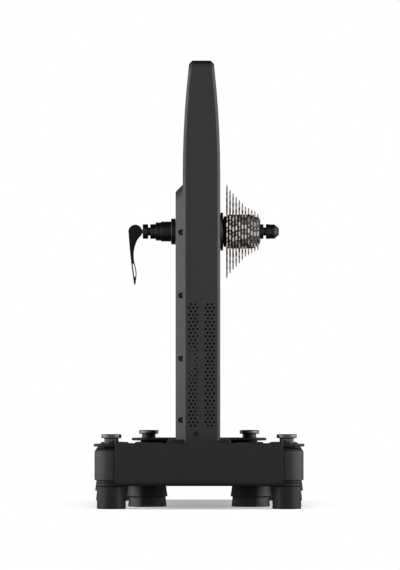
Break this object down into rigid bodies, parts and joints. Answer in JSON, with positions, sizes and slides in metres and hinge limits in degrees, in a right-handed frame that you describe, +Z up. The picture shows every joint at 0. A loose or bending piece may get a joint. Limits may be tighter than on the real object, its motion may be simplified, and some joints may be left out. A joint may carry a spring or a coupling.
{
  "type": "direct drive bike trainer",
  "caption": "Indoor trainer with a thin upright tower, belt driven flywheel, sprocket cassette, quick release and folding legs, stored folded.",
  "frame": {"origin": "floor under the axle, at the middle of the folded stand", "axes": "+X across the bike towards the sprockets, +Y towards the front wheel, +Z up"},
  "size_m": [0.2566, 0.352, 0.532],
  "materials": {
    "shell_plastic": "fine grained dark grey moulded plastic",
    "cap_plastic": "smooth black moulded plastic",
    "base_coat": "black powder coat on extruded aluminium",
    "panel_coat": "satin black powder coat on sheet metal",
    "plate_coat": "black coated steel plate",
    "leg_coat": "satin dark grey coat on cast aluminium",
    "foot_rubber": "matt black rubber",
    "knob_plastic": "matt black moulded plastic",
    "bolt_steel": "zinc plated steel",
    "frame_alloy": "machined aluminium plate",
    "board_green": "green circuit board",
    "jack_plastic": "black plastic socket with a metal pin",
    "lens_plastic": "clear light pipe",
    "flywheel_steel": "turned steel",
    "bearing_steel": "ground bearing steel",
    "core_iron": "laminated iron, dark oxide",
    "coil_copper": "enamelled copper windings",
    "belt_rubber": "ribbed rubber belt",
    "axle_alloy": "grey anodised aluminium",
    "cap_alloy": "black anodised aluminium",
    "freehub_alloy": "grey anodised aluminium",
    "sprocket_steel": "warm grey nickel plated steel",
    "spacer_plastic": "dark moulded spacers",
    "lockring_alloy": "dull grey anodised aluminium",
    "skewer_steel": "dark plated steel",
    "lever_plastic": "black painted lever"
  },
  "bodies": {
    "stand": {"base_frame": "base_coat", "pedestal": "base_coat", "rear_panel": "panel_coat", "front_panel": "panel_coat", "rear_top_plate": "plate_coat", "rear_bottom_plate": "plate_coat", "front_top_plate": "plate_coat", "front_bottom_plate": "plate_coat", "rear_left_hinge_foot": "foot_rubber", "rear_right_hinge_foot": "foot_rubber", "front_left_hinge_foot": "foot_rubber", "front_right_hinge_foot": "foot_rubber", "hinge_bolts": "bolt_steel", "left_shell": "shell_plastic", "right_shell": "shell_plastic", "flywheel_cover": "shell_plastic", "top_cap": "cap_plastic", "shell_screws": "bolt_steel", "frame_plate": "frame_alloy", "frame_bolts": "bolt_steel", "circuit_board": "board_green", "power_jack": "jack_plastic", "status_lens": "lens_plastic", "flywheel_bearings": "bearing_steel", "brake_core": "core_iron", "brake_coils": "coil_copper", "drive_belt": "belt_rubber", "drive_bearings": "bearing_steel", "axle": "axle_alloy", "axle_locknut": "cap_alloy", "axle_ring": "cap_plastic", "left_end_cap": "cap_alloy", "right_end_cap": "cap_alloy", "freehub_bearings": "bearing_steel"},
    "rear_left_leg": {"rear_left_leg": "leg_coat", "rear_left_leg_foot": "foot_rubber"},
    "rear_right_leg": {"rear_right_leg": "leg_coat", "rear_right_leg_foot": "foot_rubber"},
    "front_left_leg": {"front_left_leg": "leg_coat", "front_left_leg_foot": "foot_rubber"},
    "front_right_leg": {"front_right_leg": "leg_coat", "front_right_leg_foot": "foot_rubber"},
    "rear_left_knob": {"rear_left_knob": "knob_plastic"},
    "rear_right_knob": {"rear_right_knob": "knob_plastic"},
    "front_left_knob": {"front_left_knob": "knob_plastic"},
    "front_right_knob": {"front_right_knob": "knob_plastic"},
    "flywheel": {"flywheel": "flywheel_steel", "flywheel_shaft": "flywheel_steel", "flywheel_pulley": "flywheel_steel"},
    "drive": {"drive_pulley": "frame_alloy"},
    "cassette": {"freehub_body": "freehub_alloy", "sprockets": "sprocket_steel", "spacers": "spacer_plastic", "lockring": "lockring_alloy"},
    "skewer": {"skewer_rod": "skewer_steel", "cam_cup": "cap_alloy"},
    "lever": {"qr_lever": "lever_plastic", "cam_pin": "skewer_steel"},
    "nut": {"qr_nut": "cap_alloy"}
  },
  "joints": [
    {"name": "rear_left_leg_fold", "type": "hinge", "parent": "stand", "child": "rear_left_leg", "pos_m": [-0.104, -0.15, 0.05], "axis": [0, 0, 1], "range_deg": [0, 120]},
    {"name": "rear_right_leg_fold", "type": "hinge", "parent": "stand", "child": "rear_right_leg", "pos_m": [0.104, -0.15, 0.05], "axis": [0, 0, -1], "range_deg": [0, 120]},
    {"name": "front_left_leg_fold", "type": "hinge", "parent": "stand", "child": "front_left_leg", "pos_m": [-0.062, 0.15, 0.05], "axis": [0, 0, -1], "range_deg": [0, 45]},
    {"name": "front_right_leg_fold", "type": "hinge", "parent": "stand", "child": "front_right_leg", "pos_m": [0.062, 0.15, 0.05], "axis": [0, 0, 1], "range_deg": [0, 45]},
    {"name": "rear_left_knob_turn", "type": "hinge", "parent": "stand", "child": "rear_left_knob", "pos_m": [-0.104, -0.15, 0.08], "axis": [0, 0, 1], "range_deg": [0, 360]},
    {"name": "rear_right_knob_turn", "type": "hinge", "parent": "stand", "child": "rear_right_knob", "pos_m": [0.104, -0.15, 0.08], "axis": [0, 0, 1], "range_deg": [0, 360]},
    {"name": "front_left_knob_turn", "type": "hinge", "parent": "stand", "child": "front_left_knob", "pos_m": [-0.062, 0.15, 0.08], "axis": [0, 0, 1], "range_deg": [0, 360]},
    {"name": "front_right_knob_turn", "type": "hinge", "parent": "stand", "child": "front_right_knob", "pos_m": [0.062, 0.15, 0.08], "axis": [0, 0, 1], "range_deg": [0, 360]},
    {"name": "flywheel_spin", "type": "hinge", "parent": "stand", "child": "flywheel", "pos_m": [0, 0, 0.17], "axis": [1, 0, 0], "continuous": true},
    {"name": "pulley_spin", "type": "hinge", "parent": "stand", "child": "drive", "pos_m": [0, 0, 0.33], "axis": [1, 0, 0], "continuous": true},
    {"name": "cassette_spin", "type": "hinge", "parent": "drive", "child": "cassette", "pos_m": [0.05, 0, 0.33], "axis": [1, 0, 0], "continuous": true},
    {"name": "skewer_turn", "type": "hinge", "parent": "stand", "child": "skewer", "pos_m": [0, 0, 0.33], "axis": [1, 0, 0], "continuous": true},
    {"name": "lever_throw", "type": "hinge", "parent": "skewer", "child": "lever", "pos_m": [-0.0771, 0, 0.33], "axis": [0, 1, 0], "range_deg": [0, 180]},
    {"name": "nut_turn", "type": "hinge", "parent": "stand", "child": "nut", "pos_m": [0.088, 0, 0.33], "axis": [1, 0, 0], "continuous": true}
  ],
  "couplings": [
    {"joint": "front_left_leg_fold", "follows": "rear_left_leg_fold", "ratio": 0.375},
    {"joint": "front_right_leg_fold", "follows": "rear_right_leg_fold", "ratio": 0.375},
    {"joint": "pulley_spin", "follows": "flywheel_spin", "ratio": 0.16667}
  ]
}
